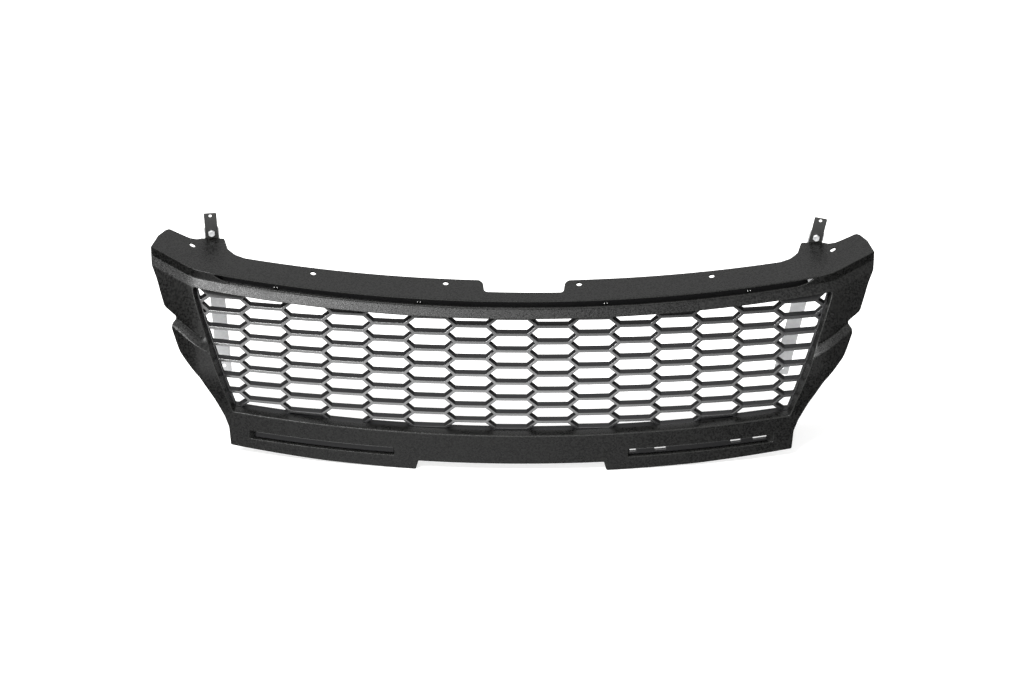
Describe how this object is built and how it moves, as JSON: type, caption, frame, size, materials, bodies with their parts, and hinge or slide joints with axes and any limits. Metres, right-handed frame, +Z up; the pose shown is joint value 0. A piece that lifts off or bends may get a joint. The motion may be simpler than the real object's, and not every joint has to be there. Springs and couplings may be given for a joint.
{
  "type": "front grille",
  "caption": "Curved truck front grille: moulded surround with a hexagonal mesh insert, blanking strips and swivelling rear stays.",
  "frame": {"origin": "a point on the deck's upper face, on the vehicle's centre plane, halfway along the strip in front of the latch notch", "axes": "+X towards the grille's left side as the vehicle drives away from the viewer, which is the right-hand side seen from the front; +Y to the rear of the vehicle; +Z up"},
  "size_m": [1.164, 0.24, 0.3497],
  "materials": {
    "grained_abs": "black moulded ABS with a fine leather grain, satin",
    "satin_abs": "black moulded ABS, smooth satin",
    "zinc_steel": "zinc-plated steel, dull silver",
    "coated_steel": "black electro-coated steel"
  },
  "bodies": {
    "grille": {"blank_left": "satin_abs", "blank_right": "satin_abs", "blank_screw_left_inner": "coated_steel", "blank_screw_left_outer": "coated_steel", "blank_screw_right_inner": "coated_steel", "blank_screw_right_outer": "coated_steel", "insert_screw_1": "coated_steel", "insert_screw_10": "coated_steel", "insert_screw_11": "coated_steel", "insert_screw_12": "coated_steel", "insert_screw_2": "coated_steel", "insert_screw_3": "coated_steel", "insert_screw_4": "coated_steel", "insert_screw_5": "coated_steel", "insert_screw_6": "coated_steel", "insert_screw_7": "coated_steel", "insert_screw_8": "coated_steel", "insert_screw_9": "coated_steel", "mesh_insert": "satin_abs", "pivot_bolt_left": "zinc_steel", "pivot_bolt_right": "zinc_steel", "pivot_nut_left": "zinc_steel", "pivot_nut_right": "zinc_steel", "pivot_washer_left": "zinc_steel", "pivot_washer_right": "zinc_steel", "surround": "grained_abs"},
    "stay_left": {"stay_strap_left": "zinc_steel", "stay_tab_left": "coated_steel", "tab_bolt_left": "zinc_steel", "tab_nut_left": "zinc_steel"},
    "stay_right": {"stay_strap_right": "zinc_steel", "stay_tab_right": "coated_steel", "tab_bolt_right": "zinc_steel", "tab_nut_right": "zinc_steel"}
  },
  "joints": [
    {"name": "stay_swing_left", "type": "hinge", "parent": "grille", "child": "stay_left", "pos_m": [-0.482, 0.1403, 0.00579], "axis": [0, 1, 0], "range_deg": [-15.5, 24.5]},
    {"name": "stay_swing_right", "type": "hinge", "parent": "grille", "child": "stay_right", "pos_m": [0.482, 0.1403, 0.00579], "axis": [0, 1, 0], "range_deg": [-32, 8]}
  ]
}
